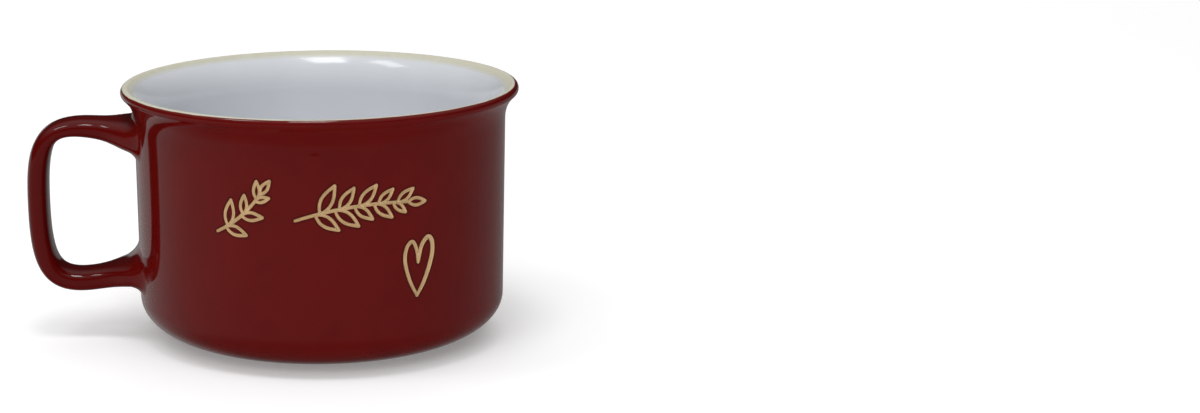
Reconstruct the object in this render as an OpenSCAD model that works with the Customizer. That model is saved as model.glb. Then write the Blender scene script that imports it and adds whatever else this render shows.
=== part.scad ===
// Wide stoneware mug with a flared rim and one strap handle.
// The axis of the bowl is Z, the foot stands on z = 0 and the handle points to -X.

/* [Bowl] */
// Height from the table to the top of the rim
height = 77.3; // [60:0.1:100]
// Outside diameter of the rim, at its widest
rim_d = 120; // [95:0.5:150]
// Thickness of the wall
wall_t = 4.6; // [3:0.1:7]
// How much narrower the wall is, on each side, just above the bottom corner than under the rim
taper = 0.6; // [0:0.1:4]
// Thickness of the floor of the bowl
floor_t = 6; // [3:0.1:10]

/* [Rim] */
// How far the rim stands out beyond the wall
flare = 4; // [2:0.1:6]
// Thickness of the rounded lip
lip_t = 3; // [2.4:0.1:4]
// Radius of the hollow curve that carries the outside of the wall out to the lip
cove_r = 10; // [4:0.5:16]
// Radius of the curve that carries the inside of the wall out to the lip
mouth_r = 14; // [10:0.5:24]

/* [Base] */
// Height of the rounded bottom corner
corner_h = 12.4; // [8:0.2:16]
// Width of the rounded bottom corner, from the wall to the foot ring
corner_w = 20; // [12:0.5:26]
// Radius of the corner between the inside wall and the floor
bowl_r = 13; // [5:0.5:20]
// Width of the foot ring
foot_w = 4.6; // [2.5:0.1:8]
// Height of the foot ring below the corner
foot_h = 0.6; // [0.5:0.1:3]
// Height of the hollow inside the foot ring
recess_h = 2; // [1.2:0.1:3]
// Radius of the small rounds on the foot ring
foot_round = 0.5; // [0.2:0.1:0.5]

/* [Handle] */
// Distance from the wall to the outermost point of the handle
handle_out = 33; // [24:0.5:45]
// Drop from the top of the rim to the middle of the upper arm, at the wall
arm_drop = 14.8; // [13:0.1:22]
// Height of the middle of the lower arm above the table, at the wall
arm_low_z = 20.7; // [18:0.1:26]
// Rise of the outermost point above the middle between the two arms
grip_rise = 2; // [-5:0.5:5]
// Upward slope of the upper arm as it leaves the wall, in degrees
arm_top_slope = 12; // [0:1:20]
// Downward slope of the lower arm as it leaves the wall, in degrees
arm_low_slope = 15; // [0:1:20]
// Fullness of the loop's upper corner: 0.55 is round, larger is squarer
corner_top_full = 1.05; // [0.5:0.05:1.2]
// Fullness of the loop's lower corner
corner_low_full = 1.15; // [0.5:0.05:1.2]
// How far out the arms keep their slope, as a share of the loop's depth
arm_full = 0.9; // [0.5:0.05:1]
// Thickness of the strap, from its finger side to its outer side
strap_t = 6.4; // [5:0.1:10]
// Width of the strap, across the handle
strap_w = 14; // [10:0.5:20]
// Squareness of the strap's section: 2 is an ellipse, larger is squarer
strap_power = 3; // [2:0.1:4]
// Extra thickness of the upper arm where it meets the wall
root_top_extra = 3.5; // [0:0.5:6]
// Extra thickness of the lower arm where it meets the wall
root_low_extra = 1; // [0:0.5:6]
// Extra width of each arm where it meets the wall
root_extra_w = 15; // [0:0.5:16]
// Distance from the wall over which an arm swells
root_length = 9; // [5:0.5:16]

/* [Hidden] */
$fn = 96;

GLAZE = [0.36, 0.09, 0.085];
STEP = 10;              // most degrees between two points of an arc
SIDES = 20;             // points round the strap's section
RINGS = 22;             // sections along each half of the handle

lip_r = lip_t / 2;
lip_x = rim_d / 2 - lip_r;
lip_z = height - lip_r;
wall_x = rim_d / 2 - flare;
low_x = wall_x - taper;

// Points of an arc of radii rx and rz about [cx, cz], both ends included
function arc(cx, cz, rx, rz, from, to) =
    let (n = max(2, ceil(abs(to - from) / STEP)))
    [for (i = [0 : n])
        let (a = from + (to - from) * i / n)
        [cx + rx * cos(a), cz + rz * sin(a)]];

// The cove touches the outside of the wall and the underside of the lip
cove_x = wall_x + cove_r;
cove_a = acos((cove_x - lip_x) / (cove_r + lip_r));
cove_z = lip_z - (cove_r + lip_r) * sin(cove_a);

// The mouth curve touches the inside of the wall and runs on into the lip
mouth_x = wall_x - wall_t + mouth_r;
mouth_a = acos((mouth_x - lip_x) / (mouth_r - lip_r));
mouth_z = lip_z - (mouth_r - lip_r) * sin(mouth_a);

foot_x = low_x - corner_w;
bowl_x = low_x - wall_t - bowl_r;
bowl_floor = foot_h + floor_t;

// Half the upright section of the outside of the bowl, from the axis to the rim
OUTSIDE = concat(
    [[0, recess_h], [foot_x - foot_w, recess_h]],
    arc(foot_x - foot_w + foot_round, foot_round, foot_round, foot_round, 180, 270),
    arc(foot_x - foot_round, foot_round, foot_round, foot_round, 270, 360),
    arc(foot_x, foot_h + corner_h, corner_w, corner_h, 270, 360),
    arc(cove_x, cove_z, cove_r, cove_r, 180, 180 - cove_a),
    arc(lip_x, lip_z, lip_r, lip_r, STEP - cove_a, 90),
    [[0, height]]);

// Half the upright section of the space inside the bowl
INSIDE = concat(
    [[0, bowl_floor]],
    arc(bowl_x, bowl_floor + bowl_r, bowl_r, bowl_r, 270, 360),
    arc(mouth_x, mouth_z, mouth_r, mouth_r, 180, 180 - mouth_a),
    arc(lip_x, lip_z, lip_r, lip_r, 180 - mouth_a - STEP, 90),
    [[lip_x, height + 1], [0, height + 1]]);

// The handle's centre line is two Bezier curves in the plane y = 0: from the
// upper arm's root to the grip, the outermost point, and on to the lower root
root_top = [-wall_x, height - arm_drop];
root_low = [-wall_x, arm_low_z];
grip = [-wall_x - handle_out + strap_t / 2, (root_top[1] + root_low[1]) / 2 + grip_rise];
arm = wall_x + grip[0];
TOP = [root_top,
       root_top + arm_full * arm * [cos(arm_top_slope), -sin(arm_top_slope)],
       grip + [0, corner_top_full * (root_top[1] - grip[1])],
       grip];
LOW = [grip,
       grip - [0, corner_low_full * (grip[1] - root_low[1])],
       root_low + arm_full * arm * [cos(arm_low_slope), sin(arm_low_slope)],
       root_low];

function bezier(p, t) =
    pow(1 - t, 3) * p[0] + 3 * t * pow(1 - t, 2) * p[1] + 3 * t * t * (1 - t) * p[2] + pow(t, 3) * p[3];
function tangent(p, t) =
    let (d = pow(1 - t, 2) * (p[1] - p[0]) + 2 * t * (1 - t) * (p[2] - p[1]) + t * t * (p[3] - p[2]))
    d / norm(d);
function power(v, p) = sign(v) * pow(abs(v), p);

// Share of the root's swelling that is left at a distance d from the wall
function swell(d) = exp(-2 * pow(max(d, 0) / root_length, 2));

// The strap's section at p, across the heading t, with extra thickness at the wall.
// It is bent to follow the round wall near a root.
function section(p, t, extra) =
    let (s = swell(-p[0] - wall_x),
         half_t = (strap_t + extra * s) / 2,
         half_w = (strap_w + root_extra_w * s) / 2)
    [for (i = [0 : SIDES - 1])
        let (a = 360 * i / SIDES,
             n = half_t * power(cos(a), 2 / strap_power),
             y = half_w * power(sin(a), 2 / strap_power),
             bend = (wall_x - sqrt(wall_x * wall_x - y * y)) * s)
        [p[0] - t[1] * n + bend, y, p[1] + t[0] * n]];

// Sections from inside the wall at the upper root to inside the wall at the lower one
sink = [wall_t / 2, 0];
SECTIONS = concat(
    [section(root_top + sink, [-1, 0], root_top_extra)],
    [for (i = [0 : RINGS])
        section(bezier(TOP, i / RINGS), tangent(TOP, i / RINGS), root_top_extra)],
    [for (i = [1 : RINGS])
        section(bezier(LOW, i / RINGS), tangent(LOW, i / RINGS), root_low_extra)],
    [section(root_low + sink, [1, 0], root_low_extra)]);

module loft(rings) {
    m = len(rings[0]);
    k = len(rings);
    polyhedron(
        points = [for (r = rings, p = r) p],
        faces = concat(
            [[for (j = [0 : m - 1]) m - 1 - j]],
            [for (i = [0 : k - 2], j = [0 : m - 1])
                each [[i * m + j, i * m + (j + 1) % m, (i + 1) * m + j],
                      [i * m + (j + 1) % m, (i + 1) * m + (j + 1) % m, (i + 1) * m + j]]],
            [[for (j = [0 : m - 1]) (k - 1) * m + j]]));
}

module mug() {
    color(GLAZE)
    difference() {
        union() {
            rotate_extrude() polygon(OUTSIDE);
            loft(SECTIONS);
        }
        rotate_extrude() polygon(INSIDE);
    }
}

mug();
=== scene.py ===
"""A wide stoneware mug with a flared rim and one strap handle: its looks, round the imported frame.

Shapes are worked out in millimetres and turned into metres when the mesh is made.
The bowl's axis is Z, the foot stands on z = 0 and the handle points to -X.
"""
import math

import bmesh
import bpy
import numpy as np
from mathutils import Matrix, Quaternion, Vector
from mathutils.geometry import delaunay_2d_cdt


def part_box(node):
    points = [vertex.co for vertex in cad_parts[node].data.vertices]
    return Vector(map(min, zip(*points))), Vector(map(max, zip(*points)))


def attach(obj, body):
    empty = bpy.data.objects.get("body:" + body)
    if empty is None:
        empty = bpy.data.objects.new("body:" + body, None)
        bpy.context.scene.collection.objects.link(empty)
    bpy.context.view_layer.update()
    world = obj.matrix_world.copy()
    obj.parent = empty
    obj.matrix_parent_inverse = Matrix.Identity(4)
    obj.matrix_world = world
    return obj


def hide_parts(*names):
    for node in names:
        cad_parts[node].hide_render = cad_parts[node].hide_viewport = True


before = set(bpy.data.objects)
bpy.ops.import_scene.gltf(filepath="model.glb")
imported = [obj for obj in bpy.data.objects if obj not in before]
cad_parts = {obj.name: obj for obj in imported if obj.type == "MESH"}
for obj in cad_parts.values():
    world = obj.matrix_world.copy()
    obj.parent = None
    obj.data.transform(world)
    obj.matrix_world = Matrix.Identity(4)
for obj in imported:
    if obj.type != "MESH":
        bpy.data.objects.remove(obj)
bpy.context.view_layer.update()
MM = 0.001

# ---------------------------------------------------------------- sizes, in millimetres
LOW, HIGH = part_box("mug")
HEIGHT = HIGH.z / MM
RIM_R = HIGH.y / MM
HANDLE_END = -LOW.x / MM

FLARE = 4.0                 # how far the rim stands out beyond the wall
LIP_R = 1.5                 # half the thickness of the rounded lip
COVE_R = 10.0               # hollow curve from the outside of the wall to the lip
MOUTH_R = 14.0              # curve from the inside of the wall to the lip
WALL_T = 4.6                # thickness of the wall below the lip
TAPER = 0.6                 # how much smaller the wall's radius is at the corner
FLOOR_T = 6.0               # from the top of the foot ring's outside up to the inside of the bowl
CORNER_H = 12.4             # height of the rounded bottom corner
CORNER_W = 20.0             # and its width
BOWL_R = 13.0               # curve from the inside of the wall to the floor
FOOT_W = 4.6                # width of the foot ring
FOOT_H = 0.6                # and its height on the outside
FOOT_ROUND = 0.5            # rounding of its edges and of the recess's
RECESS_H = 2.0              # height of the recess inside the foot ring

WALL_X = RIM_R - FLARE
LOW_X = WALL_X - TAPER
LIP_X = RIM_R - LIP_R
LIP_Z = HEIGHT - LIP_R
COVE_X = WALL_X + COVE_R
COVE_A = math.acos((COVE_X - LIP_X) / (COVE_R + LIP_R))
COVE_Z = LIP_Z - (COVE_R + LIP_R) * math.sin(COVE_A)
MOUTH_X = WALL_X - WALL_T + MOUTH_R
MOUTH_A = math.acos((MOUTH_X - LIP_X) / (MOUTH_R - LIP_R))
MOUTH_Z = LIP_Z - (MOUTH_R - LIP_R) * math.sin(MOUTH_A)
FOOT_X = LOW_X - CORNER_W
BOWL_X = LOW_X - WALL_T - BOWL_R
BOWL_FLOOR = FOOT_H + FLOOR_T
CORNER_TOP = FOOT_H + CORNER_H

ARM_DROP = 14.8             # from the top of the rim to the upper arm's middle, at the wall
ARM_LOW_Z = 20.7            # height of the lower arm's middle, at the wall
GRIP_RISE = 2.0             # of the outermost point above the middle between the arms
ARM_TOP_SLOPE = math.radians(12)
ARM_LOW_SLOPE = math.radians(15)
CORNER_TOP_FULL = 1.05      # how full the strap's upper corner is, and its lower one
CORNER_LOW_FULL = 1.15
ARM_FULL = 0.9              # how straight the arms leave the wall
STRAP_T = 6.4
STRAP_W = 14.0
STRAP_POWER = 3.0           # squareness of the strap's section
ROOT_EXTRA_T = (3.5, 1.0)   # extra thickness at the upper and the lower root
ROOT_EXTRA_W = 15.0
ROOT_LENGTH = 9.0
FILLET_SIDE = 4.0           # reach of the fillet beside a root
FILLET_IN = (2.2, 6.0)      # on the finger side of the upper and the lower root
FILLET_OUT = (2.0, 3.4)     # and on their outer side
ARM_THIN = 0.36             # share of its half thickness that the upper arm loses on the finger side
ARM_THIN_AT = 0.42          # where along the upper arm it is thinnest
ARM_THIN_LENGTH = 0.22      # and how far along it from there the loss falls to about a third

AROUND = 240                # steps round the bowl
SIDES = 88                  # steps round the strap
STRAP_RINGS = 84            # rings along the strap, with the last one of each fillet
FILLET_RINGS = 10           # rings in a fillet
SHORT = 0.05                # a step for working out a direction on the wall
RELIEF_STEP = 0.04          # the same on the engraved wall
WELD = 0.002                # points nearer than this are one point
SAME = 1e-6                 # and in a profile, nearer than this
TINY = 1e-12                # keeps a division away from zero

# The decorated wall is a band between two heights, unrolled at this radius
COVE_SHARE = 0.45           # how far it goes up the hollow curve, as a share of the curve's radius
BAND_R = WALL_X
BAND_LENGTH = 2 * math.pi * BAND_R
BAND_LOW = CORNER_TOP
BAND_HIGH = COVE_Z + COVE_SHARE * COVE_R
BAND_ROWS = 20              # points up the band's two ends
FILL_STEP = BAND_LENGTH / AROUND * 1.5      # between loose points of the net
CLEAR_OF_LINES = 0.7        # how far the loose points keep off the beads
CLEAR_OF_ROOTS = 1.2        # and off the handle's roots

# The engraving goes through the glaze to the clay
GROOVE_DEPTH = 0.5
GROOVE_SIDE = 0.16          # width of a groove's steep side
BEAD_AT = 0.14              # the glaze gathers in a low bead along the cut
BEAD_END = 0.8
BEAD_MIDDLE = (BEAD_AT + BEAD_END) / 2
BEAD_H = 0.07
STROKE = 1.0                # width of a drawn line
FAR = 9.0                   # a distance that means far from any groove
DRAWING_MARGIN = 2.5        # beyond a drawing's box, its distance isn't needed
GRID_MARGIN = 2.2           # the grid that finds a drawing's outlines reaches this far past it
GRID_CELL = 0.13
# Outlines that the net follows: distance from a line's edge, and the spacing of the points
GROOVE_LEVELS = ((-GROOVE_SIDE, 0.26), (0, 0.24), (BEAD_AT, 0.26), (BEAD_MIDDLE, 0.5), (BEAD_END, 0.9))
LEAST_STEPS = 6             # outlines shorter than this many spacings are left out

# A small blister in the glaze of the front, above the drawing
BLISTER_SIZE = np.array([2.4, 1.1])     # half its width and half its height
BLISTER_RISE = 0.2
BLISTER_RINGS = (0.1, 0.35, 0.7, 1.05, 1.4, 1.8, 2.3)   # the net's rings round it, as shares of its size
BLISTER_SIDES = 24


# ---------------------------------------------------------------- the bowl's profile
def arc(cx, cz, rx, rz, start, stop, steps):
    """Points of an arc, angles in degrees, both ends included."""
    a = np.radians(np.linspace(start, stop, steps + 1))
    return np.stack([cx + rx * np.cos(a), cz + rz * np.sin(a)], 1)


def line(p, q, steps):
    """Points from p to q, both ends included."""
    return np.linspace(p, q, steps + 1)


def join(*runs):
    """Runs of points end to end, with no point twice."""
    points = [runs[0]]
    for run in runs[1:]:
        same = np.linalg.norm(run[0] - points[-1][-1]) < SAME
        points.append(run[1:] if same else run)
    return np.concatenate(points)


def lengths(points):
    """Distance of each point along its line."""
    return np.concatenate([[0], np.cumsum(np.linalg.norm(np.diff(points, axis=0), axis=1))])


def under_profile():
    """From the axis under the bowl, over the foot ring, to the start of the corner."""
    inner = FOOT_X - FOOT_W
    return join(
        line([0, RECESS_H], [inner - FOOT_ROUND, RECESS_H], 8),
        arc(inner - FOOT_ROUND, RECESS_H - FOOT_ROUND, FOOT_ROUND, FOOT_ROUND, 90, 0, 4),
        arc(inner + FOOT_ROUND, FOOT_ROUND, FOOT_ROUND, FOOT_ROUND, 180, 270, 5),
        arc(FOOT_X - FOOT_ROUND, FOOT_ROUND, FOOT_ROUND, FOOT_ROUND, 270, 360, 5),
        line([FOOT_X, FOOT_ROUND], [FOOT_X, FOOT_H], 1))


def corner_profile():
    """The rounded bottom corner, up to the decorated band."""
    return arc(FOOT_X, CORNER_TOP, CORNER_W, CORNER_H, 270, 360, 22)


def outer_rim_profile():
    """From the top of the decorated band to the crest of the rim."""
    band_a = math.degrees((BAND_HIGH - COVE_Z) / COVE_R)
    cove_a = math.degrees(COVE_A)
    return join(
        arc(COVE_X, COVE_Z, COVE_R, COVE_R, 180 - band_a, 180 - cove_a, 6),
        arc(LIP_X, LIP_Z, LIP_R, LIP_R, -cove_a, 90, 14))


def inner_rim_profile():
    """From the crest of the rim down the inside, to the floor of the bowl."""
    mouth_a = math.degrees(MOUTH_A)
    inside = LOW_X - WALL_T
    return join(
        arc(LIP_X, LIP_Z, LIP_R, LIP_R, 90, 180 - mouth_a, 5),
        arc(MOUTH_X, MOUTH_Z, MOUTH_R, MOUTH_R, 180 - mouth_a, 180, 14),
        line([WALL_X - WALL_T, MOUTH_Z], [inside, BOWL_FLOOR + BOWL_R], 12),
        arc(BOWL_X, BOWL_FLOOR + BOWL_R, BOWL_R, BOWL_R, 360, 270, 14))


def floor_profile():
    """The flat middle of the floor inside, inward to the axis."""
    return line([BOWL_X, BOWL_FLOOR], [0, BOWL_FLOOR], 8)


# ---------------------------------------------------------------- the decorated band
def wall_radius(z):
    """Radius of the outside of the bowl at height z, in the decorated band."""
    slope = LOW_X + TAPER * (z - CORNER_TOP) / (COVE_Z - CORNER_TOP)
    rise = np.clip(z - COVE_Z, 0, COVE_R * 0.99)
    return np.where(z > COVE_Z, COVE_X - np.sqrt(COVE_R ** 2 - rise ** 2), slope)


def band_point(flat, lift=0.0):
    """Points of the band at flat places, which are a distance round it and one up it. They are
    lifted off the surface."""
    u, v = flat[..., 0], flat[..., 1]
    a = np.maximum(v - COVE_Z, 0) / COVE_R
    straight = LOW_X + TAPER * (v - CORNER_TOP) / (COVE_Z - CORNER_TOP)
    r = np.where(v > COVE_Z, COVE_X - COVE_R * np.cos(a), straight) + lift * np.cos(a)
    z = np.where(v > COVE_Z, COVE_Z + COVE_R * np.sin(a), v) - lift * np.sin(a)
    theta = u / BAND_R
    return np.stack([r * np.cos(theta), r * np.sin(theta), z], -1)


def band_place(p):
    """The flat places of points near the band: the opposite of band_point."""
    u = np.mod(np.arctan2(p[..., 1], p[..., 0]), 2 * math.pi) * BAND_R
    rise = np.clip((p[..., 2] - COVE_Z) / COVE_R, 0, 0.99)
    v = np.where(p[..., 2] > COVE_Z, COVE_Z + COVE_R * np.arcsin(rise), p[..., 2])
    return np.stack([u, v], -1)


def unit(vectors):
    """Vectors brought to length 1."""
    return vectors / np.linalg.norm(vectors, axis=1, keepdims=True)


def band_normals(surface, flat, short):
    """Normals of a surface over flat places, from the points a short step away on each side."""
    along_u = surface(flat + [short, 0]) - surface(flat - [short, 0])
    along_v = surface(flat + [0, short]) - surface(flat - [0, short])
    return unit(np.cross(along_u, along_v))


# ---------------------------------------------------------------- the engraving
def curve_through(points, steps=8):
    """A smooth line through given points."""
    p = np.array(points, float)
    p = np.concatenate([[2 * p[0] - p[1]], p, [2 * p[-1] - p[-2]]])
    out = []
    for a, b, c, d in zip(p, p[1:], p[2:], p[3:]):
        for t in np.arange(steps) / steps:
            out.append(0.5 * (2 * b + (c - a) * t + (2 * a - 5 * b + 4 * c - d) * t ** 2
                              + (3 * b - a - 3 * c + d) * t ** 3))
    out.append(p[-2])
    return np.array(out)


def stroke(points, width, thin):
    """A drawn line, as segments with a half width at each end. thin is the share of its
    width that its ends have."""
    points = np.array(points, float)
    share = lengths(points) / lengths(points)[-1]
    half = width / 2 * (thin + (1 - thin) * np.sin(math.pi * share) ** 0.6)
    return np.column_stack([points[:-1], points[1:], half[:-1], half[1:]])


def leaf(base, angle, length, width):
    """An open leaf: one line that goes out along one edge and back along the other."""
    t = np.linspace(0, 1, 13)
    edge = np.sin(math.pi * t ** 0.85) * width / 2
    local = np.concatenate([np.stack([t * length, edge], 1), np.stack([t * length, -edge], 1)[-2::-1]])
    c, s = math.cos(angle), math.sin(angle)
    return stroke(base + local @ np.array([[c, s], [-s, c]]), STROKE * 0.95, 0.85)


LEAF_FIRST = 0.2            # where along the stem the first pair of leaves is
LEAF_SPAN = 0.68            # and how far the last pair is beyond it
LEAF_TURN = 52              # degrees between a leaf and the stem, at the stem's start
LEAF_CLOSING = 16           # and how many fewer at its tip
LEAF_STAGGER = 0.02         # how far the two leaves of a pair are moved along the stem
LEAF_SLIM = 0.36            # width of a leaf as a share of its length


def sprig(start, end, sag, pairs, size):
    """A stem from start to end with pairs of open leaves, smaller to the tip."""
    start, end = np.array(start, float), np.array(end, float)
    across = np.array([-(end - start)[1], (end - start)[0]]) / np.linalg.norm(end - start)
    t = np.linspace(0, 1, 25)[:, None]
    stem = start + (end - start) * t + across * sag * 4 * t * (1 - t)
    parts = [stroke(stem, STROKE, 0.8)]
    for i in range(pairs):
        share = LEAF_FIRST + LEAF_SPAN * i / (pairs - 1)
        turn = math.radians(LEAF_TURN - LEAF_CLOSING * share)
        for side in (1, -1):
            k = (share + side * LEAF_STAGGER) * (len(stem) - 1)
            j = int(k)
            base = stem[j] + (stem[j + 1] - stem[j]) * (k - j)
            heading = math.atan2(*(stem[j + 1] - stem[j])[::-1])
            length = size * (1.05 - 0.5 * share + 0.06 * side * (-1) ** i)
            parts.append(leaf(base, heading + side * turn, length, length * LEAF_SLIM))
    heading = math.atan2(*(stem[-1] - stem[-3])[::-1])
    parts.append(leaf(stem[-1], heading, size * 0.62, size * 0.24))
    return np.concatenate(parts)


def heart(low, width, height):
    """A tall heart drawn in one line, thicker over its right half."""
    left = curve_through([(0.46, 0.58), (0.41, 0.80), (0.27, 0.95), (0.08, 0.86), (0.02, 0.62),
                          (0.17, 0.29), (0.42, 0.0)])
    right = curve_through([(0.46, 0.58), (0.58, 0.86), (0.80, 0.995), (0.96, 0.90), (0.94, 0.64),
                           (0.70, 0.27), (0.42, 0.0)])
    scale = np.array([width, height])
    return np.concatenate([stroke(np.array(low) + left * scale, STROKE * 1.15, 0.7),
                           stroke(np.array(low) + right * scale, STROKE * 1.45, 0.6)])


FRONT = 1.5 * math.pi * BAND_R      # the band's middle on the side that faces -Y
BACK = 0.5 * math.pi * BAND_R
BLISTER = np.array([FRONT - 1.4, 66.0])
# Each group of drawn lines, with u to the right as seen from outside
DRAWINGS = [
    sprig((FRONT - 31.5, 43.0), (FRONT - 17.5, 55.0), -1.2, 3, 7.6),
    sprig((FRONT - 7.5, 47.5), (FRONT + 26.0, 51.5), 1.8, 5, 9.0),
    heart((FRONT + 24.7, 23.4), 9.8, 17.0),
    sprig((BACK - 41.0, 47.5), (BACK - 7.5, 51.5), 1.8, 5, 9.0),
    sprig((BACK + 3.0, 44.0), (BACK + 24.0, 54.0), -1.4, 3, 8.4),
    heart((BACK + 21.5, 22.4), 11.0, 19.0),
]


def drawing_box(segments, margin):
    """The lowest and the highest corner of a drawing on the flat band, with a margin."""
    ends = segments[:, :4].reshape(-1, 2)
    return ends.min(0) - margin, ends.max(0) + margin


def distance(points, segments):
    """How far points are outside a group of lines, negative inside a line."""
    best = np.full(len(points), FAR)
    for ax, ay, bx, by, ra, rb in segments:
        dx, dy = bx - ax, by - ay
        near = (np.abs(points[:, 0] - (ax + bx) / 2) < FAR) & (np.abs(points[:, 1] - (ay + by) / 2) < FAR)
        q = points[near]
        t = np.clip(((q[:, 0] - ax) * dx + (q[:, 1] - ay) * dy) / (dx * dx + dy * dy + TINY), 0, 1)
        d = np.hypot(q[:, 0] - ax - t * dx, q[:, 1] - ay - t * dy) - (ra + (rb - ra) * t)
        best[near] = np.minimum(best[near], d)
    return best


def groove_distance(points):
    """Distance of the band's points to the nearest drawing."""
    best = np.full(len(points), FAR)
    for segments in DRAWINGS:
        low, high = drawing_box(segments, DRAWING_MARGIN)
        near = ((points > low) & (points < high)).all(1)
        if near.any():
            best[near] = np.minimum(best[near], distance(points[near], segments))
    return best


def groove_height(d):
    """Height of the surface at distance d from the edge of a line."""
    return np.interp(d, [-GROOVE_SIDE, 0, BEAD_AT, BEAD_MIDDLE, BEAD_END],
                     [-GROOVE_DEPTH, 0, BEAD_H, BEAD_H * 0.4, 0])


def relief(flat):
    """Height of the glaze over the plain wall: grooves with their beads, and the blister."""
    off = (flat - BLISTER) / BLISTER_SIZE
    return groove_height(groove_distance(flat)) + BLISTER_RISE * np.exp(-(off ** 2).sum(1))


def decorated_point(flat):
    """Points of the wall with its relief, at flat places."""
    return band_point(flat, relief(flat))


def cell_links(f):
    """Which crossings of a grid's lines are joined where f changes sign. A crossing is known
    by the two grid points that it lies between."""
    inside = f < 0
    links = {}
    mixed = inside[:-1, :-1].astype(int) + inside[1:, :-1] + inside[:-1, 1:] + inside[1:, 1:]
    for i, j in zip(*np.nonzero((mixed > 0) & (mixed < 4))):
        sides = [(i, j, i + 1, j), (i + 1, j, i + 1, j + 1), (i, j + 1, i + 1, j + 1), (i, j, i, j + 1)]
        found = [s for s in sides if inside[s[0], s[1]] != inside[s[2], s[3]]]
        if len(found) == 4 and f[i:i + 2, j:j + 2].mean() * f[i, j] < 0:
            found = [found[0], found[3], found[1], found[2]]
        for a, b in zip(found[::2], found[1::2]):
            links.setdefault(a, []).append(b)
            links.setdefault(b, []).append(a)
    return links


def closed_chains(links):
    """The closed chains that the links make. The links are used up."""
    chains = []
    while links:
        first = next(iter(links))
        chain = [first]
        while links.get(chain[-1]):
            here = chain[-1]
            after = links[here].pop()
            links[after].remove(here)
            if after == first:
                break
            chain.append(after)
        for crossing in chain:
            if not links.get(crossing):
                links.pop(crossing, None)
        chains.append(chain)
    return chains


def contours(segments, level, spacing):
    """Closed lines at one distance from a group of drawn lines, as lists of points."""
    low, high = drawing_box(segments, GRID_MARGIN)
    nx, ny = np.ceil((high - low) / GRID_CELL).astype(int)
    gx, gy = low[0] + GRID_CELL * np.arange(nx + 1), low[1] + GRID_CELL * np.arange(ny + 1)
    grid = np.stack(np.meshgrid(gx, gy, indexing="ij"), -1).reshape(-1, 2)
    f = distance(grid, segments).reshape(nx + 1, ny + 1) - level
    f[f == 0] = TINY
    loops = []
    for chain in closed_chains(cell_links(f)):
        i, j, k, m = np.array(chain).T
        t = f[i, j] / (f[i, j] - f[k, m])
        points = np.stack([gx[i] + t * (gx[k] - gx[i]), gy[j] + t * (gy[m] - gy[j])], 1)
        closed = np.concatenate([points, points[:1]])
        along = lengths(closed)
        if along[-1] < LEAST_STEPS * spacing:
            continue
        s = np.linspace(0, along[-1], int(along[-1] / spacing), endpoint=False)
        loops.append(np.stack([np.interp(s, along, closed[:, 0]), np.interp(s, along, closed[:, 1])], 1))
    return loops


# ---------------------------------------------------------------- the handle
ROOT_TOP = np.array([-WALL_X, HEIGHT - ARM_DROP])
ROOT_LOW = np.array([-WALL_X, ARM_LOW_Z])
GRIP = np.array([-HANDLE_END + STRAP_T / 2, (ROOT_TOP[1] + ROOT_LOW[1]) / 2 + GRIP_RISE])
REACH = WALL_X + GRIP[0]    # below zero: the arms point to -X
ARMS = np.array([
    [ROOT_TOP,
     ROOT_TOP + ARM_FULL * REACH * np.array([math.cos(ARM_TOP_SLOPE), -math.sin(ARM_TOP_SLOPE)]),
     GRIP + [0, CORNER_TOP_FULL * (ROOT_TOP[1] - GRIP[1])],
     GRIP],
    [GRIP,
     GRIP - [0, CORNER_LOW_FULL * (GRIP[1] - ROOT_LOW[1])],
     ROOT_LOW + ARM_FULL * REACH * np.array([math.cos(ARM_LOW_SLOPE), math.sin(ARM_LOW_SLOPE)]),
     ROOT_LOW]])
# Where along the strap each root is looked for, from inside the wall to clear of it
ROOT_SEARCH = ((-0.25, 0.6), (2.25, 1.3))
ROOT_STEP = 0.01            # a step along the strap for working out a direction
ARC_PULL = 0.5523           # from a quarter arc's ends to its inner points, as a share of its radius
SECTION = 2 * math.pi * np.arange(SIDES) / SIDES


def bezier(s, p, q, r, t):
    """The point at share s of a curve from p to t."""
    return (1 - s) ** 3 * p + 3 * s * (1 - s) ** 2 * q + 3 * s ** 2 * (1 - s) * r + s ** 3 * t


def centre_line(t):
    """Point and heading of the strap's middle. The upper arm is 0 to 1, the lower one 1 to 2,
    and beyond both ends the line goes straight on into the wall."""
    half = (t > 1).astype(int)
    p = ARMS[half]
    s = np.clip(t - half, 0, 1)[..., None]
    at = bezier(s, p[..., 0, :], p[..., 1, :], p[..., 2, :], p[..., 3, :])
    d = ((1 - s) ** 2 * (p[..., 1, :] - p[..., 0, :]) + 2 * s * (1 - s) * (p[..., 2, :] - p[..., 1, :])
         + s ** 2 * (p[..., 3, :] - p[..., 2, :]))
    heading = d / np.linalg.norm(d, axis=-1, keepdims=True)
    beyond = (t - half)[..., None] - s
    return at + beyond * 3 * d, heading, half


def power(v, p):
    """v to the power p, with v's sign kept."""
    return np.sign(v) * np.abs(v) ** p


def finger_side(a):
    """1 on the finger side of the strap's section and -1 on its outer side, with a soft change."""
    return np.tanh(2 * np.cos(a))


def strap_point(t, a):
    """A point of the strap's surface: t along it, and a round its section."""
    p, d, half = centre_line(t)
    s = np.exp(-2 * (np.maximum(-p[..., 0] - WALL_X, 0) / ROOT_LENGTH) ** 2)
    thin = ARM_THIN * np.exp(-((t - ARM_THIN_AT) / ARM_THIN_LENGTH) ** 2) * (0.6 + 0.4 * finger_side(a))
    half_t = (STRAP_T * (1 - thin) + np.array(ROOT_EXTRA_T)[half] * s) / 2
    half_w = (STRAP_W + ROOT_EXTRA_W * s) / 2
    n = half_t * power(np.cos(a), 2 / STRAP_POWER)
    y = half_w * power(np.sin(a), 2 / STRAP_POWER)
    bend = (WALL_X - np.sqrt(WALL_X ** 2 - y ** 2)) * s
    return np.stack([p[..., 0] - d[..., 1] * n + bend, y, p[..., 1] + d[..., 0] * n], -1)


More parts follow.
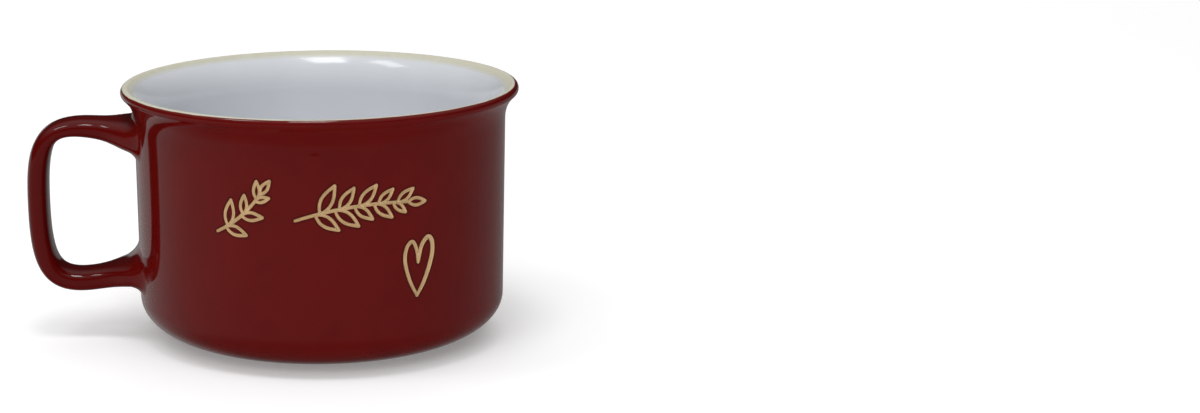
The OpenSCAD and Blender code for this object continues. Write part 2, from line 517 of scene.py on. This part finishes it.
def off_wall(p):
    """How far a point is outside the bowl."""
    return np.hypot(p[..., 0], p[..., 1]) - wall_radius(p[..., 2])


def reach_of(gap, at):
    """For each side of a root, where along the strap its surface is the given gap off the wall."""
    near, far = (np.full(SIDES, end) for end in ROOT_SEARCH[at])
    for _ in range(40):
        middle = (near + far) / 2
        outside = off_wall(strap_point(middle, SECTION)) > gap
        far = np.where(outside, middle, far)
        near = np.where(outside, near, middle)
    return (near + far) / 2


def root(at):
    """The upper root (0) or the lower one (1): the loop where its fillet ends on the band, the
    rings of the fillet from there to the strap, and where along the strap they end."""
    edge = FILLET_OUT[at] + (FILLET_IN[at] - FILLET_OUT[at]) * (1 + finger_side(SECTION)) / 2
    size = edge + (FILLET_SIDE - edge) * np.abs(np.sin(SECTION)) ** 2
    meet = band_place(strap_point(reach_of(0, at), SECTION))
    away = np.roll(meet, -1, 0) - np.roll(meet, 1, 0)
    away = unit(np.stack([away[:, 1], -away[:, 0]], 1))
    if ((meet - meet.mean(0)) * away).sum() < 0:
        away = -away
    loop = meet + away * size[:, None]
    ends = reach_of(size, at)
    top = strap_point(ends, SECTION)
    inner, outer = ROOT_SEARCH[at]
    inward = unit(strap_point(ends + ROOT_STEP * np.sign(inner - outer), SECTION) - top)
    foot = band_point(loop)
    back = unit(band_point(loop - away * SHORT) - foot)
    pull = ARC_PULL * size[:, None]
    rings = [bezier(s, foot, foot + back * pull, top + inward * pull, top)
             for s in np.linspace(0, 1, FILLET_RINGS)]
    return loop, rings, ends


# ---------------------------------------------------------------- putting the mesh together
GLAZE, CLAY = 0, 1

# The texture sheet is laid out in millimetres, with one patch per stretch of the surface
SHEET = 358.0
GAP = 2.0
HANDLE_PATCH = 50.0         # width of the handle's patch
SPARE_PATCH = 80.0          # from the front grooves' patch to that of the back ones


def tube_faces(rows, columns):
    """The rows and columns of the faces of a grid that closes on itself round its columns, and
    the numbers of each face's four points."""
    i, j = np.meshgrid(np.arange(rows - 1), np.arange(columns), indexing="ij")
    k = (j + 1) % columns
    faces = np.stack([i * columns + j, i * columns + k, (i + 1) * columns + k, (i + 1) * columns + j], -1)
    return i, j, faces


class Shell:
    """Points and faces of the mug, gathered patch by patch."""

    def __init__(self):
        self.points, self.normals, self.edge, self.groove = [], [], [], []
        self.faces, self.uvs, self.slots = [], [], []
        self.count = 0

    def add_points(self, points, normals, edge, groove=FAR):
        """Adds points and returns the number of the first. A normal of zero leaves it to Blender.
        edge is the distance from the crest of the rim, and groove that from the engraving."""
        n = len(points)
        self.points.append(points)
        self.normals.append(normals)
        self.edge.append(np.broadcast_to(edge, n))
        self.groove.append(np.broadcast_to(groove, n))
        self.count += n
        return self.count - n

    def add_faces(self, faces, uvs, slots):
        self.faces.extend(faces.tolist())
        self.uvs.append(uvs.reshape(-1, 2))
        self.slots.append(np.broadcast_to(slots, len(faces)))

    def turn(self, profile, edge, place, slots=GLAZE, disc=False):
        """A profile turned round the axis. place is the patch's corner, or a disc's middle, and
        slots the material of each row of faces."""
        rows = len(profile)
        theta = 2 * math.pi * np.arange(AROUND + 1) / AROUND
        ring = np.stack([np.cos(theta[:-1]), np.sin(theta[:-1])], 1)
        points = np.zeros((rows, AROUND, 3))
        points[..., :2] = profile[:, None, :1] * ring[None]
        points[..., 2] = profile[:, 1:2]
        points = points.reshape(-1, 3)
        edge = np.repeat(np.broadcast_to(edge, rows), AROUND)
        first = self.add_points(points, np.zeros_like(points), edge)
        i, j, faces = tube_faces(rows, AROUND)
        along = lengths(profile)
        if disc:
            radius = along if profile[0, 0] < profile[-1, 0] else along[-1] - along
            flat = np.stack([radius[:, None] * np.cos(theta), radius[:, None] * np.sin(theta)], -1)
        else:
            flat = np.stack(np.broadcast_arrays(theta * BAND_R, along[:, None]), -1)
        flat = flat + np.array(place)
        uvs = np.stack([flat[i, j], flat[i, j + 1], flat[i + 1, j + 1], flat[i + 1, j]], 2)
        slots = np.repeat(np.broadcast_to(slots, rows - 1), AROUND)
        self.add_faces((first + faces).reshape(-1, 4), uvs.reshape(-1, 4, 2), slots)

    def mesh(self, name):
        points = np.concatenate(self.points) * MM
        uvs = (np.concatenate(self.uvs) / SHEET).astype(np.float32)
        mesh = bpy.data.meshes.new(name)
        mesh.from_pydata(points.tolist(), [], self.faces)
        mesh.uv_layers.new(name="OFBake")
        mesh.uv_layers["OFBake"].uv.foreach_set("vector", uvs.ravel())
        mesh.polygons.foreach_set("material_index", np.concatenate(self.slots).astype(np.int32))
        for label, values in (("edge", self.edge), ("groove", self.groove)):
            layer = mesh.attributes.new(label, "FLOAT", "POINT")
            layer.data.foreach_set("value", np.concatenate(values).astype(np.float32))
        # The normals go through the weld as an attribute, so that they keep to their points
        layer = mesh.attributes.new("lean", "FLOAT_VECTOR", "POINT")
        layer.data.foreach_set("vector", np.concatenate(self.normals).astype(np.float32).ravel())
        weld(mesh)
        lean = np.zeros(len(mesh.vertices) * 3, np.float32)
        mesh.attributes["lean"].data.foreach_get("vector", lean)
        mesh.attributes.remove(mesh.attributes["lean"])
        mesh.normals_split_custom_set_from_vertices(lean.reshape(-1, 3).tolist())
        return mesh


def weld(mesh):
    """Joins the patches along their shared edges, drops faces with no area and closes the mesh."""
    bm = bmesh.new()
    bm.from_mesh(mesh)
    bmesh.ops.remove_doubles(bm, verts=bm.verts, dist=WELD * MM)
    bmesh.ops.recalc_face_normals(bm, faces=bm.faces)
    open_edges = [e for e in bm.edges if not e.is_manifold]
    print("mug:", len(bm.verts), "points,", len(bm.faces), "faces,", len(open_edges), "open edges")
    for f in bm.faces:
        f.smooth = True
    bm.to_mesh(mesh)
    bm.free()


def in_loop(points, loop, margin):
    """Which points lie inside a loop of the band that is grown by a margin from its middle."""
    grown = loop + unit(loop - loop.mean(0)) * margin
    a, b = grown, np.roll(grown, -1, 0)
    x, y = points[:, None, 0], points[:, None, 1]
    crosses = (a[:, 1] > y) != (b[:, 1] > y)
    slope = (b[:, 0] - a[:, 0]) / np.where(b[:, 1] == a[:, 1], TINY, b[:, 1] - a[:, 1])
    return (crosses & (x < a[:, 0] + (y - a[:, 1]) * slope)).sum(1) % 2 == 1


def band_lines(roots):
    """The closed lines that the flat net follows: the band's border, the roots and the grooves."""
    across = np.arange(AROUND + 1) * BAND_LENGTH / AROUND
    rows = np.linspace(BAND_LOW, BAND_HIGH, BAND_ROWS)[1:-1]
    border = np.concatenate([
        np.stack([across, np.full(AROUND + 1, BAND_LOW)], 1),
        np.stack([np.full(len(rows), BAND_LENGTH), rows], 1),
        np.stack([across, np.full(AROUND + 1, BAND_HIGH)], 1)[::-1],
        np.stack([np.zeros(len(rows)), rows], 1)[::-1]])
    lines = [border, *roots]
    for segments in DRAWINGS:
        for level, spacing in GROOVE_LEVELS:
            lines.extend(contours(segments, level, spacing))
    return lines


def band_fill(roots):
    """Loose points for the rest of the net: staggered rows, clear of the drawn lines and the
    roots, and rings round the blister."""
    fill = []
    rows = np.arange(BAND_LOW + FILL_STEP * 0.8, BAND_HIGH - FILL_STEP * 0.5, FILL_STEP * 0.87)
    for row, v in enumerate(rows):
        shift = FILL_STEP / 2 if row % 2 else 0
        fill.extend((u + shift, v) for u in np.arange(FILL_STEP, BAND_LENGTH - FILL_STEP * 1.2, FILL_STEP))
    fill = np.array(fill)
    keep = groove_distance(fill) > BEAD_END + CLEAR_OF_LINES
    for loop in roots:
        keep &= ~in_loop(fill, loop, CLEAR_OF_ROOTS)
    turn = np.linspace(0, 2 * math.pi, BLISTER_SIDES, endpoint=False)
    circle = np.stack([np.cos(turn), np.sin(turn)], 1)
    rings = [BLISTER + share * BLISTER_SIZE * circle for share in BLISTER_RINGS]
    return np.concatenate([fill[keep], *rings])


def band_net(roots):
    """Points and triangles of the flat band, which is open at the roots."""
    points, edges = [], []
    for line_points in band_lines(roots):
        first, count = len(points), len(line_points)
        points.extend(line_points.tolist())
        edges.extend((first + i, first + (i + 1) % count) for i in range(count))
    points.extend(band_fill(roots).tolist())
    net, _, faces, _, _, _ = delaunay_2d_cdt([Vector(p) for p in points], edges, [], 0, 1e-5)
    net = np.array([tuple(p) for p in net])
    faces = np.array([f for f in faces if len(f) == 3])
    keep = np.ones(len(faces), bool)
    for loop in roots:
        keep &= ~in_loop(net[faces].mean(1), loop, 0)
    used, faces = np.unique(faces[keep], return_inverse=True)
    return net[used], faces.reshape(-1, 3)


def add_band(shell, place, spare, roots):
    """The decorated wall: the flat net rolled round the bowl. The grooves' floors and sides have
    two patches of their own on the texture sheet, one for the front and one for the back."""
    net, faces = band_net(roots)
    normals = band_normals(decorated_point, net, RELIEF_STEP)
    first = shell.add_points(decorated_point(net), normals, -FAR, groove_distance(net))
    uvs = net[faces] + np.array(place) - [0, BAND_LOW]
    middle = net[faces].mean(1)
    cut = groove_distance(middle) < 0
    front = middle[:, 0] > BAND_LENGTH / 2
    for patch, side in zip(spare, (front, ~front)):
        moved = cut & side
        corner = net[faces[moved]].reshape(-1, 2).min(0)
        uvs[moved] = net[faces[moved]] - corner + np.array(patch)
    shell.add_faces(faces + first, uvs, np.where(cut, CLAY, GLAZE))


def add_handle(shell, place, top, low):
    """The strap and its two fillets, in rings from the upper loop on the band to the lower."""
    top_loop, top_rings, top_ends = top
    low_loop, low_rings, low_ends = low
    strap = [strap_point(top_ends + (low_ends - top_ends) * w, SECTION)
             for w in np.linspace(0, 1, STRAP_RINGS)[1:-1]]
    rings = np.array(top_rings + strap + low_rings[::-1])
    normals = np.zeros_like(rings)
    normals[0] = band_normals(band_point, top_loop, SHORT)
    normals[-1] = band_normals(band_point, low_loop, SHORT)
    first = shell.add_points(rings.reshape(-1, 3), normals.reshape(-1, 3), -FAR)
    i, j, faces = tube_faces(len(rings), SIDES)
    along = lengths(rings[:, 0])
    around = np.arange(SIDES + 1) / SIDES * HANDLE_PATCH
    flat = np.stack(np.broadcast_arrays(along[:, None], around), -1) + np.array(place)
    uvs = np.stack([flat[i, j], flat[i + 1, j], flat[i + 1, j + 1], flat[i, j + 1]], 2)
    # The points go round the other way here, so each face's are taken backwards
    faces = (first + faces)[..., [0, 3, 2, 1]]
    shell.add_faces(faces.reshape(-1, 4), uvs.reshape(-1, 4, 2), GLAZE)


def make_mug():
    """The whole mug as one mesh, with the places of its patches on the texture sheet."""
    shell = Shell()
    top, low = root(0), root(1)
    under, corner = under_profile(), corner_profile()
    outer, inner, floor = outer_rim_profile(), inner_rim_profile(), floor_profile()
    # The foot ring is bare clay up to where its outside ends
    bare = (under[1:, 1] + under[:-1, 1]) / 2 < FOOT_H

    y = GAP
    shell.turn(corner, -FAR, (GAP, y))
    y += lengths(corner)[-1]
    band_y = y
    y += BAND_HIGH - BAND_LOW
    shell.turn(outer, lengths(outer) - lengths(outer)[-1], (GAP, y))
    y += lengths(outer)[-1] + GAP
    shell.turn(inner, lengths(inner), (GAP, y))
    y += lengths(inner)[-1] + GAP
    under_r, floor_r = lengths(under)[-1], lengths(floor)[-1]
    shell.turn(under, -FAR, (GAP + under_r, y + under_r), np.where(bare, CLAY, GLAZE), disc=True)
    shell.turn(floor, FAR, (2 * GAP + 2 * under_r + floor_r, y + floor_r), disc=True)
    x = 3 * GAP + 2 * under_r + 2 * floor_r
    add_handle(shell, (x, y), top, low)
    y += HANDLE_PATCH + GAP
    add_band(shell, (GAP, band_y), ((x, y), (x + SPARE_PATCH, y)), [top[0], low[0]])
    mug = bpy.data.objects.new("mug_stoneware", shell.mesh("mug_stoneware"))
    bpy.context.scene.collection.objects.link(mug)
    return mug


# ---------------------------------------------------------------- materials
RED = (0.112, 0.0036, 0.0026)
# A darker red: for patches in the glaze, and for painted shade beside the grooves and on the handle
RED_DEEP = (0.062, 0.0012, 0.0010)
RED_THIN = (0.13, 0.010, 0.007)
CREAM = (0.61, 0.59, 0.475)
WHITE = (0.685, 0.705, 0.74)
CLAY_COLOUR = (0.65, 0.45, 0.235)
CLAY_DARK = (0.43, 0.29, 0.13)

# Where the glazes end, in millimetres inward from the crest of the rim
RED_THINS = (-1.6, -0.7)
RED_TO_CREAM = (-0.80, -0.50)
CREAM_TO_WHITE = (1.7, 3.9)
EDGE_WAVE = 0.6             # how much those lines wander
DIP_TILT = 0.006            # slope of the line that the red glaze was dipped to, higher at +X
POOLED_AND_SHADE = (0.9, 0.1)         # the red gets darker from here to there beside a groove: partly glaze pooled there, partly painted shade in the recess
HANDLE_SHADE_X = (-0.056, -0.066)     # and painted shade darkens it between these places along X, in metres, out to the handle
MOTTLE = 0.22               # how far the red goes to the deep one in its patches
HANDLE_SHADE = 0.45          # and how far on the handle, as painted shade
ROUGH_RED = (0.045, 0.04)   # roughness, and how much smears add to it
ROUGH_WHITE = (0.10, 0.08)
ROUGH_CREAM = 0.48
ROUGH_CLAY = (0.7, 0.2)
GLAZE_IOR = 1.52
GLAZE_WAVES = 0.10          # depth of the glaze's slow waves, in millimetres
CLAY_GRAIN = 0.05           # and of the clay's grain

# A mix node's sockets for its two values and its result, by the kind of value
MIX_SOCKETS = {"RGBA": (6, 7, 2), "FLOAT": (2, 3, 0)}


def shader(name):
    """A new material with its node tree and its Principled shader."""
    material = bpy.data.materials.new(name)
    material.use_nodes = True
    tree = material.node_tree
    return material, tree, tree.nodes["Principled BSDF"]


def feed(tree, socket, value):
    """Gives a socket another node's output, a colour or a number."""
    if isinstance(value, bpy.types.NodeSocket):
        tree.links.new(value, socket)
    elif isinstance(value, tuple):
        socket.default_value = (*value, 1)
    else:
        socket.default_value = value


def math_node(tree, operation, a, b):
    node = tree.nodes.new("ShaderNodeMath")
    node.operation = operation
    feed(tree, node.inputs[0], a)
    feed(tree, node.inputs[1], b)
    return node.outputs[0]


def split(tree, vector):
    """The X, Y and Z of a vector."""
    node = tree.nodes.new("ShaderNodeSeparateXYZ")
    tree.links.new(vector, node.inputs[0])
    return node.outputs


def coordinates(tree, kind):
    return tree.nodes.new("ShaderNodeTexCoord").outputs[kind]


def noise(tree, size, detail, roughness, seed):
    """Noise from 0 to 1 in the object's own space, with features of a size in millimetres."""
    node = tree.nodes.new("ShaderNodeTexNoise")
    node.noise_dimensions = "4D"
    node.inputs["W"].default_value = seed
    node.inputs["Scale"].default_value = 1 / (size * MM)
    node.inputs["Detail"].default_value = detail
    node.inputs["Roughness"].default_value = roughness
    tree.links.new(coordinates(tree, "Object"), node.inputs["Vector"])
    return node.outputs["Fac"]


def step(tree, value, low, high, to_high=1.0):
    """A smooth step from 0 where value is low, to to_high where it is high."""
    node = tree.nodes.new("ShaderNodeMapRange")
    node.interpolation_type = "SMOOTHSTEP"
    tree.links.new(value, node.inputs["Value"])
    for label, number in (("From Min", low), ("From Max", high), ("To Min", 0), ("To Max", to_high)):
        node.inputs[label].default_value = number
    return node.outputs["Result"]


def blend(tree, share, a, b, kind="RGBA"):
    """Colour or number a where share is 0, and b where it is 1."""
    at_a, at_b, result = MIX_SOCKETS[kind]
    node = tree.nodes.new("ShaderNodeMix")
    node.data_type = kind
    tree.links.new(share, node.inputs[0])
    feed(tree, node.inputs[at_a], a)
    feed(tree, node.inputs[at_b], b)
    return node.outputs[result]


def patches(tree, fac, low, high, colour, shade):
    """A colour that is a little darker where fac is high."""
    return blend(tree, step(tree, fac, low, high), colour, tuple(shade * c for c in colour))


def varied(tree, fac, least, extra):
    """A number that grows with fac."""
    return math_node(tree, "ADD", math_node(tree, "MULTIPLY", fac, extra), least)


def attribute(tree, name):
    node = tree.nodes.new("ShaderNodeAttribute")
    node.attribute_name = name
    return node.outputs["Fac"]


def bump(tree, height, depth):
    """A bump of a depth in millimetres."""
    node = tree.nodes.new("ShaderNodeBump")
    node.inputs["Strength"].default_value = 1
    node.inputs["Distance"].default_value = depth * MM
    tree.links.new(height, node.inputs["Height"])
    return node.outputs["Normal"]


def glaze_material():
    """Deep red glaze outside, white inside, and a bare cream band over the lip between them."""
    material, tree, bsdf = shader("glaze_red_and_white")
    x = split(tree, coordinates(tree, "Object"))["X"]
    centred = math_node(tree, "SUBTRACT", noise(tree, 9, 4, 0.6, 3), 0.5)
    wave = math_node(tree, "MULTIPLY", centred, EDGE_WAVE)
    tilt = math_node(tree, "MULTIPLY", x, DIP_TILT / MM)
    inward = math_node(tree, "SUBTRACT", math_node(tree, "ADD", attribute(tree, "edge"), wave), tilt)
    off_red = step(tree, inward, *RED_TO_CREAM)
    on_white = step(tree, inward, *CREAM_TO_WHITE)

    red = blend(tree, step(tree, noise(tree, 14, 4, 0.6, 1), 0.3, 0.7, MOTTLE), RED, RED_DEEP)
    # Darker red beside the grooves: partly pooled glaze, partly painted shade in the recess
    red = blend(tree, step(tree, attribute(tree, "groove"), *POOLED_AND_SHADE), red, RED_DEEP)
    # Painted shade: the handle's red is darkened, as if less light reached it
    red = blend(tree, step(tree, x, *HANDLE_SHADE_X, HANDLE_SHADE), red, RED_DEEP)
    red = blend(tree, step(tree, inward, *RED_THINS), red, RED_THIN)
    cream = patches(tree, noise(tree, 2.2, 4, 0.6, 5), 0.35, 0.75, CREAM, 0.94)
    white = patches(tree, noise(tree, 18, 3, 0.5, 7), 0.3, 0.7, WHITE, 0.965)
    colour = blend(tree, on_white, blend(tree, off_red, red, cream), white)
    tree.links.new(colour, bsdf.inputs["Base Color"])

    smear = noise(tree, 6, 4, 0.6, 11)
    rough = blend(tree, off_red, varied(tree, smear, *ROUGH_RED), ROUGH_CREAM, "FLOAT")
    rough = blend(tree, on_white, rough, varied(tree, smear, *ROUGH_WHITE), "FLOAT")
    tree.links.new(rough, bsdf.inputs["Roughness"])
    bsdf.inputs["IOR"].default_value = GLAZE_IOR
    tree.links.new(bump(tree, noise(tree, 30, 1, 0.4, 13), GLAZE_WAVES), bsdf.inputs["Normal"])
    return material


def clay_material():
    """Bare fired clay, in the engraving and under the foot."""
    material, tree, bsdf = shader("clay_bare")
    grain = noise(tree, 0.5, 5, 0.65, 2)
    colour = patches(tree, noise(tree, 5, 3, 0.5, 4), 0.35, 0.7, CLAY_COLOUR, 0.85)
    colour = blend(tree, step(tree, grain, 0.58, 0.75), colour, CLAY_DARK)
    tree.links.new(colour, bsdf.inputs["Base Color"])
    tree.links.new(varied(tree, grain, *ROUGH_CLAY), bsdf.inputs["Roughness"])
    tree.links.new(bump(tree, grain, CLAY_GRAIN), bsdf.inputs["Normal"])
    return material


# ---------------------------------------------------------------- the studio, in metres
CAMERA_UP = math.radians(12.93)     # its angle above the horizon
CAMERA_ROLL = math.radians(-0.75)
CAMERA_AWAY = 0.8
CAMERA_LENS = 78.75         # in millimetres, as is the sensor
SENSOR_WIDTH = 36
CAMERA_SHIFT = 0.2326       # puts the mug left of the picture's middle
AIM_RISE = 0.3              # how far above the mug's middle it aims, in millimetres

FLOOR_HALF = 6.0
FLOOR_SHADE = 0.92
FLOOR_GLOW = 0.24
FLOOR_ROUGH = 0.7

# Each soft box: its heading from the mug, its distance, its width and height, its power in watts,
# and whether the glaze mirrors it
SOFT_BOXES = {
    "front_box": ((-0.05, -0.20, 0.96), 1.1, (0.27, 0.34), 2.4, True),
    "left_box": ((-0.47, -0.13, 0.88), 1.1, (0.20, 0.30), 1.0, True),
    "fill": ((-0.20, -0.85, 0.50), 1.5, (1.4, 0.9), 8.5, False),
    "behind": ((0.10, 0.85, 0.45), 1.5, (1.4, 0.9), 4.0, False),
}

ROOM_LOW = 0.012            # brightness of the room just above the horizon
ROOM_TOP = 0.90             # and overhead, as it lights the mug
ROOM_TOP_SEEN = 0.30        # and overhead, as the glaze mirrors it
BELOW_SEEN = 0.06           # and straight below, as the glaze mirrors it
# The heights of a direction, from -1 straight down to 1 straight up, between which the room changes
SIDES_TO_BELOW = (-0.85, -0.35)
HORIZON = (-0.04, 0.04)
LOW_TO_TOP = (0.32, 0.9)
# The brightness by azimuth below the horizon, as the glaze mirrors it. Azimuth 0 is +X.
SIDES_SEEN = [(0, 0.14), (75, 0.23), (100, 0.24), (112, 0.42), (150, 0.34), (180, 0.24), (225, 0.16),
              (270, 0.13), (325, 0.12)]


def grey(level):
    return level, level, level


def make_floor():
    r = FLOOR_HALF
    mesh = bpy.data.meshes.new("floor")
    mesh.from_pydata([(-r, -r, 0), (r, -r, 0), (r, r, 0), (-r, r, 0)], [], [(0, 1, 2, 3)])
    floor = bpy.data.objects.new("floor", mesh)
    bpy.context.scene.collection.objects.link(floor)
    material, tree, bsdf = shader("floor_pale")
    feed(tree, bsdf.inputs["Base Color"], grey(FLOOR_SHADE))
    feed(tree, bsdf.inputs["Emission Color"], grey(1))
    bsdf.inputs["Emission Strength"].default_value = FLOOR_GLOW
    bsdf.inputs["Roughness"].default_value = FLOOR_ROUGH
    mesh.materials.append(material)
    floor.visible_glossy = False


def make_room():
    """A pale room that is brighter in some directions."""
    world = bpy.data.worlds.new("studio")
    bpy.context.scene.world = world
    world.use_nodes = True
    tree = world.node_tree
    heading = split(tree, coordinates(tree, "Generated"))
    azimuth = math_node(tree, "ARCTAN2", heading["Y"], heading["X"])
    turns = math_node(tree, "DIVIDE", azimuth, 2 * math.pi)
    ramp = tree.nodes.new("ShaderNodeValToRGB")
    tree.links.new(math_node(tree, "FRACT", math_node(tree, "ADD", turns, 1.0), 0.0), ramp.inputs[0])
    for element in ramp.color_ramp.elements:
        element.color = (*grey(SIDES_SEEN[0][1]), 1)
    for degrees, level in SIDES_SEEN[1:]:
        ramp.color_ramp.elements.new(degrees / 360).color = (*grey(level), 1)
    mirrored = tree.nodes.new("ShaderNodeLightPath").outputs["Is Glossy Ray"]
    top = blend(tree, mirrored, grey(ROOM_TOP), grey(ROOM_TOP_SEEN))
    room = blend(tree, step(tree, heading["Z"], *LOW_TO_TOP), grey(ROOM_LOW), top)
    lower = blend(tree, step(tree, heading["Z"], *SIDES_TO_BELOW), grey(BELOW_SEEN), ramp.outputs["Color"])
    colour = blend(tree, step(tree, heading["Z"], *HORIZON), lower, room)
    tree.links.new(colour, tree.nodes["Background"].inputs["Color"])


def make_light():
    """Soft boxes that face the mug."""
    target = Vector((0, 0, HEIGHT * MM / 2))
    for name, (heading, away, size, watts, mirrored) in SOFT_BOXES.items():
        data = bpy.data.lights.new(name, "AREA")
        data.shape = "RECTANGLE"
        data.size, data.size_y = size
        data.energy = watts
        light = bpy.data.objects.new(name, data)
        light.location = target + away * Vector(heading).normalized()
        light.rotation_euler = (target - light.location).to_track_quat("-Z", "Y").to_euler()
        light.visible_glossy = mirrored
        bpy.context.scene.collection.objects.link(light)


def make_camera():
    """Straight in front of the mug, a little above it, with the mug left of the middle."""
    target = Vector((0, 0, (HEIGHT / 2 + AIM_RISE) * MM))
    data = bpy.data.cameras.new("camera")
    data.lens = CAMERA_LENS
    data.sensor_width = SENSOR_WIDTH
    data.shift_x = CAMERA_SHIFT
    camera = bpy.data.objects.new("camera", data)
    camera.location = target + CAMERA_AWAY * Vector((0, -math.cos(CAMERA_UP), math.sin(CAMERA_UP)))
    facing = (target - camera.location).to_track_quat("-Z", "Y")
    camera.rotation_euler = (facing @ Quaternion((0, 0, 1), CAMERA_ROLL)).to_euler()
    bpy.context.scene.collection.objects.link(camera)
    bpy.context.scene.camera = camera


make_camera()
make_room()
make_light()
make_floor()
mug = make_mug()
mug.data.materials.append(glaze_material())
mug.data.materials.append(clay_material())
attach(mug, "root")
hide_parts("mug")
bpy.context.scene.view_settings.view_transform = "Standard"
